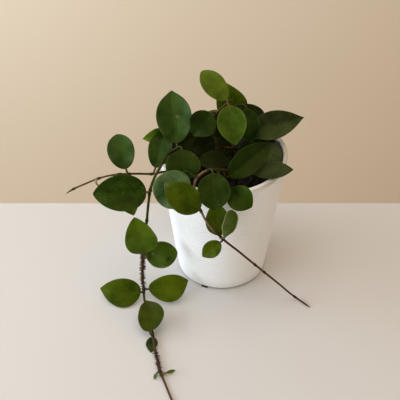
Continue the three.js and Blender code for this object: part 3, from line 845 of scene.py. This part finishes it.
# ---- Vines ----
# The vines are thin and woody, mostly red-brown. Near the soil they are painted green-brown,
# which is painted shade and green light reflected from the leaves. They swell into a dark knot
# where leaves stand. The long one has put out short brown rootlets on two stretches, and the
# left shoot has one pale curled bud.
VINE_POINTS = 8  # round a vine's skin in the CAD model
VINE_FACETS = 14  # round a finished vine
VINE_STEP = 0.001  # between the points along it
BURIED = 0.0012  # how far its foot goes down into the soil
END_TAPER = 0.006  # its outer end narrows over this length
KNOT_LENGTH = 0.0021  # from a knot's middle to its end
SWELLING, SLIGHT_SWELLING = 0.0006, 0.0005  # of a knot, on most vines and on the front one
BUD_AT = 0.755  # of the left shoot's length
BARE_KNOTS = {  # knots without leaves, as shares of the vine's length
    "left_shoot": (0.62, BUD_AT, 0.94),
    "front_trail": (0.70, 0.75, 0.935),
    "left_trail": (0.30, 0.38, 0.76, 0.97),
    "right_shoot": (0.4,),
    "crown_stem": (0.3, 0.55),
    "back_trail": (0.5,),
}


def smooth_path(points, spacing):
    """Evenly spaced points on a smooth curve through the given ones."""
    padded = np.vstack([2 * points[0] - points[1], points, 2 * points[-1] - points[-2]])
    fine = []
    for a, b, c, d in zip(padded, padded[1:], padded[2:], padded[3:]):
        t = np.linspace(0, 1, 24, endpoint=False)[:, None]
        fine.append(0.5 * (2 * b + (c - a) * t + (2 * a - 5 * b + 4 * c - d) * t ** 2
                           + (3 * b - a - 3 * c + d) * t ** 3))
    fine = np.vstack([*fine, points[-1]])
    run = np.append(0, np.cumsum(np.linalg.norm(np.diff(fine, axis=0), axis=1)))
    at = np.linspace(0, run[-1], max(4, round(run[-1] / spacing)))
    return np.array([np.interp(at, run, fine[:, k]) for k in range(3)]).T, at


def swept(name, path, radii, around):
    """A round skin along a path. radii holds one row of radii, or a radius, for each point."""
    heading = unit(np.gradient(path, axis=0))
    turn = unit(np.cross(heading[0], (0.3, 0.9, 0.2)))
    angles = np.linspace(0, 2 * np.pi, around, endpoint=False)
    rings = []
    for centre, ahead, radius in zip(path, heading, radii):
        turn = unit(turn - ahead * (turn @ ahead))
        other = np.cross(ahead, turn)
        ring = np.outer(np.cos(angles), turn) + np.outer(np.sin(angles), other)
        rings.append(centre + ring * np.reshape(radius, (-1, 1)))
    start = path[0] - heading[0] * np.mean(radii[0]) * 0.5
    end = path[-1] + heading[-1] * np.mean(radii[-1])
    return outwards(skinned(name, np.array(rings), start, end))


bark, tree, shader = new_material("vine_bark", Roughness=0.55, Specular_IOR_Level=0.12,
                                  Specular_Tint=(1.0, 0.85, 0.35, 1))
where = place_of(tree)
vine = node(tree, "ShaderNodeAttribute", attribute_name="vine").outputs["Vector"]
worn, out_of_green_shade, knot = (part_of(tree, vine, axis) for axis in "XYZ")
mottle = remap(tree, noise(tree, where, 90, 4, 0.6), 0.35, 0.65)
# Painted shade and green light reflected from the leaves: the dark olive the vines take near the
# soil.
leaf_shade_green = blend(tree, mottle, (0.024, 0.031, 0.003, 1), (0.036, 0.034, 0.005, 1))
woody = blend(tree, mottle, (0.050, 0.023, 0.006, 1), (0.082, 0.038, 0.013, 1))
tone = blend(tree, out_of_green_shade, leaf_shade_green, woody)
grey = remap(tree, noise(tree, where, 420, 4, 0.7), 0.55, 0.72)
tone = blend(tree, maths(tree, "MULTIPLY", grey, 0.35), tone, (0.10, 0.070, 0.028, 1))
tone = blend(tree, maths(tree, "MULTIPLY", worn, 0.8), tone, (0.20, 0.125, 0.075, 1))
tone = blend(tree, maths(tree, "MULTIPLY", knot, 0.8), tone, (0.028, 0.011, 0.005, 1))
tree.links.new(tone, shader.inputs["Base Color"])
tree.links.new(remap(tree, grey, 0, 1, 0.42, 0.75), shader.inputs["Roughness"])
bumped(tree, shader, noise(tree, where, 1100, 4, 0.7), 0.0002, 0.8)

sprout, tree, shader = new_material("pale_sprout", Roughness=0.5)
tone = blend(tree, noise(tree, place_of(tree), 700, 3), (0.22, 0.18, 0.06, 1),
             (0.34, 0.27, 0.11, 1))
tree.links.new(tone, shader.inputs["Base Color"])

root_hair, tree, shader = new_material("rootlet_bark", Roughness=0.7)
tone = blend(tree, noise(tree, place_of(tree), 900, 3), (0.045, 0.018, 0.010, 1),
             (0.13, 0.055, 0.030, 1))
tree.links.new(tone, shader.inputs["Base Color"])

rootlets, given, result = new_tree("rootlets", Density="Float", Shortest="Float",
                                   Longest="Float", Seed="Int")
rooting = node(rootlets, "GeometryNodeInputNamedAttribute", {"Name": "rooting"}).outputs[0]
dense = maths(rootlets, "MULTIPLY", rooting, given["Density"])
points = node(rootlets, "GeometryNodeDistributePointsOnFaces",
              {"Mesh": given["Geometry"], "Density": dense, "Seed": given["Seed"]})
spike = node(rootlets, "GeometryNodeMeshCone", {"Vertices": 5, "Side Segments": 2,
             "Radius Top": 0.00008, "Radius Bottom": 0.0005, "Depth": 0.0028})
tilt = random_vector(rootlets, (-0.5, -0.5, -3), (0.5, 0.5, 3), given["Seed"])
turn = node(rootlets, "FunctionNodeRotateEuler", {"Rotation": points.outputs["Rotation"],
            "Rotate By": tilt}, space="LOCAL").outputs[0]
size = random_size(rootlets, given["Shortest"], given["Longest"], given["Seed"])
sown(rootlets, given, result, points, spike, turn, size)

# Stretches of a vine are shares of its length.
ROOTING = {"left_trail": ((0.47, 0.61), (0.79, 0.88))}
GREEN_SHADE_FADE = {"left_trail": (0.45, 1.0), "front_trail": (0.40, 0.62),  # where the painted green shade gives way to brown bark
          "right_shoot": (1.0, 2.0), "inner_shoot": (-1.0, 0.0)}
PLAIN_GREEN_SHADE_FADE = 0.3, 0.8
WORN = {"front_trail": (0.24, 0.50)}  # where it bends over the rim
NOWHERE = 2, 3  # beyond a vine's end
STOUT = {"left_shoot": 1.18}  # how much thicker it is than its CAD node
CROWN_TOP = 0.2  # above this lies only the crown stem's outer end

for name in ("left_trail", "left_shoot", "front_trail", "crown_stem", "right_shoot", "rim_shoot",
             "inner_shoot", "back_trail", "back_shoot"):
    start, rings, end = loft_rings(name, VINE_POINTS)
    outer_first = np.linalg.norm(start[:2]) > np.linalg.norm(end[:2]) and name != "crown_stem"
    if outer_first or start[2] > CROWN_TOP:
        rings = rings[::-1]
    centres = rings.mean(1)
    girth = np.linalg.norm(rings - centres[:, None], axis=2).mean(1)
    path, run = smooth_path(centres, VINE_STEP)
    share = run / run[-1]
    radius = np.interp(share, np.linspace(0, 1, len(girth)), girth) * STOUT.get(name, 1.0)
    knots = [run[np.argmin(np.linalg.norm(path - foot, axis=1))] for foot in leaf_feet[name]]
    knots += [k * run[-1] for k in BARE_KNOTS.get(name, ())]
    knot = np.clip(sum(np.exp(-((run - k) / KNOT_LENGTH) ** 2) for k in knots), 0, 1)
    rooting = sum(smooth(share, a, a + 0.02) * (1 - smooth(share, b - 0.02, b))
                  for a, b in ROOTING.get(name, (NOWHERE,)))
    radius = radius * (1 + 0.04 * ripple(run / 0.004, run / 0.011, name) + 0.15 * rooting)
    radius += (SLIGHT_SWELLING if name == "front_trail" else SWELLING) * knot
    radius *= 1 - 0.5 * smooth(share, 1 - END_TAPER / run[-1], 1.0)
    path[0] -= (0, 0, BURIED)
    angles = np.linspace(0, 2 * np.pi, VINE_FACETS, endpoint=False)
    fluting = 1 + 0.035 * np.sin(3 * angles[None] + run[:, None] / 0.006) * (1 - knot[:, None])
    mesh = swept(name, path, radius[:, None] * fluting, VINE_FACETS)
    for v in mesh.vertices:
        v.co.z = max(v.co.z, LEAST_RISE)
    out_of_green_shade = smooth(share, *GREEN_SHADE_FADE.get(name, PLAIN_GREEN_SHADE_FADE))
    a, b = WORN.get(name, NOWHERE)
    worn = smooth(share, a, a + 0.03) * (1 - smooth(share, b - 0.03, b))
    values = np.stack([worn, out_of_green_shade, np.maximum(knot, 0.6 * rooting)], -1).repeat(VINE_FACETS, axis=0)
    values = np.vstack([values, values[0], values[-1]])
    mesh.attributes.new("vine", "FLOAT_VECTOR", "POINT").data.foreach_set("vector", values.ravel())
    mesh.materials.append(bark)
    seated(f"{name}_bark", mesh, "vine", name)
    if name == "left_shoot":
        steps = smooth_path(path[np.argmin(np.abs(share - BUD_AT))] + np.array(
            [(0, 0, 0), (-0.0026, -0.0004, -0.0024), (-0.0030, -0.0010, -0.0052),
             (-0.0010, -0.0012, -0.0085), (0.0006, -0.0010, -0.0098)]), 0.0007)[0]
        radii = np.interp(np.linspace(0, 1, len(steps)), (0, 0.35, 0.8, 1),
                          (0.0009, 0.0014, 0.0012, 0.0004))
        bud = swept("left_shoot_bud", steps, radii, 10)
        bud.materials.append(sprout)
        seated("left_shoot_bud", bud, "leaf")
    if name in ROOTING:
        grow = mesh.copy()
        values = np.append(rooting.repeat(VINE_FACETS), (0, 0))
        grow.attributes.new("rooting", "FLOAT", "POINT").data.foreach_set("value", values)
        hair = with_nodes(grow, rootlets, Density=5.5e5, Shortest=0.55, Longest=1.15, Seed=5,
                          Material=root_hair)
        for v in hair.vertices:
            v.co.z = max(v.co.z, LEAST_RISE)
        seated(f"{name}_rootlets", hair, "vine")
